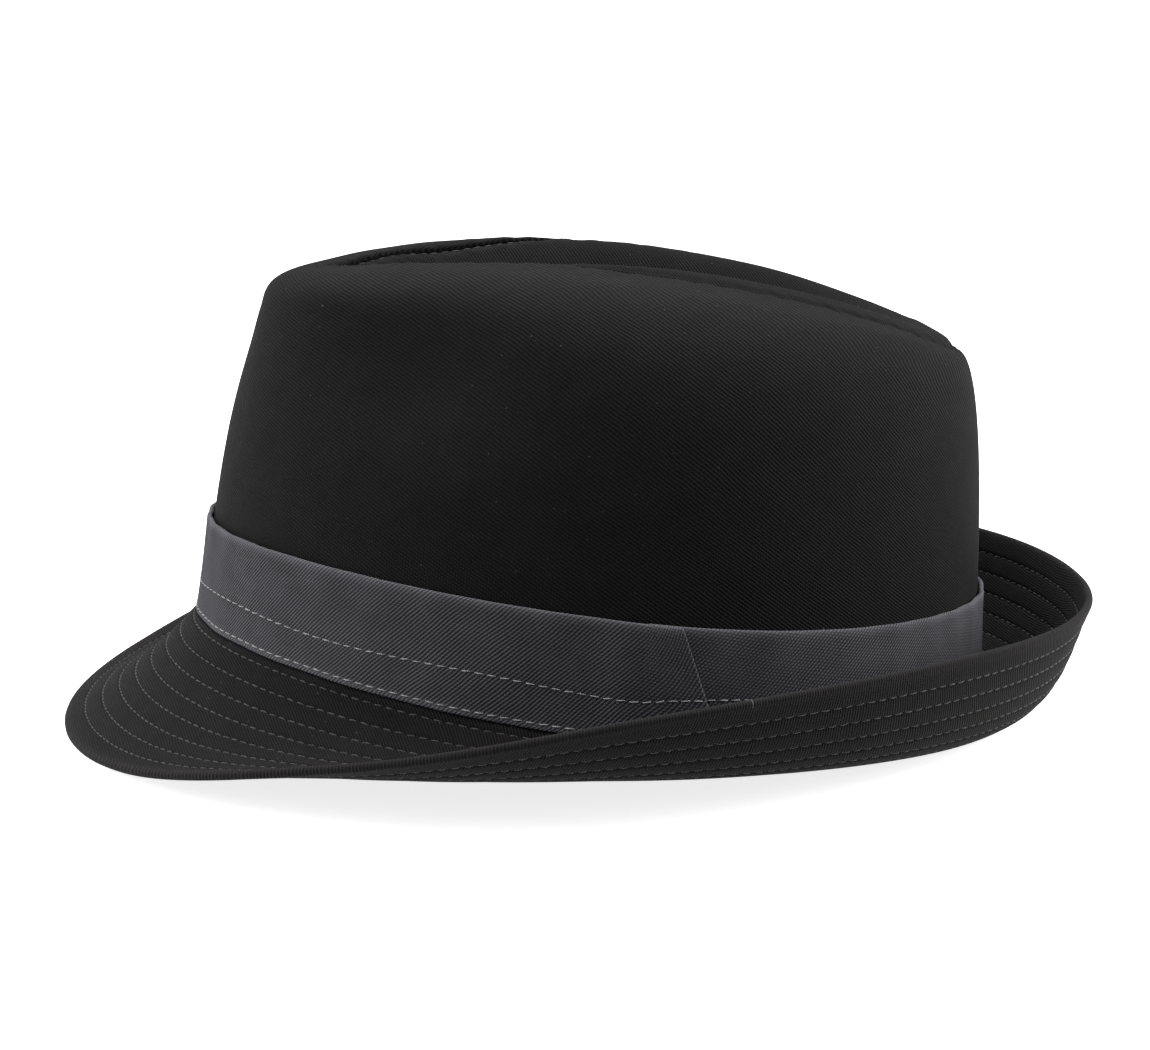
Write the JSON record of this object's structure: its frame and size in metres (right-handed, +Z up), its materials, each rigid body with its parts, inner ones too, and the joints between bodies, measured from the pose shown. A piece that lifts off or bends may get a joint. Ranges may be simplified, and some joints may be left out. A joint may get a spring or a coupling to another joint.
{
  "type": "trilby hat",
  "caption": "Cut and sewn cotton trilby: teardrop crown with a long dent and side pinches, twill band with a lapped end, stitched brim dipped in front and turned up behind.",
  "frame": {"origin": "centre of the bounding box at its bottom, on the surface that the hat rests on", "axes": "+Z up, -Y to the hat's front, +X to the wearer's left"},
  "size_m": [0.2476, 0.2654, 0.1187],
  "materials": {
    "crown_twill": "black cotton twill, fine ribs, matt",
    "tip_twill": "black cotton twill, fine ribs, matt",
    "band_twill": "grey cotton twill, diagonal ribs, two rows of stitching",
    "brim_twill": "black cotton twill, quilted with rows of stitching"
  },
  "bodies": {
    "root": {"crown_side": "crown_twill", "crown_tip": "tip_twill", "hat_band": "band_twill", "brim": "brim_twill"}
  },
  "joints": []
}
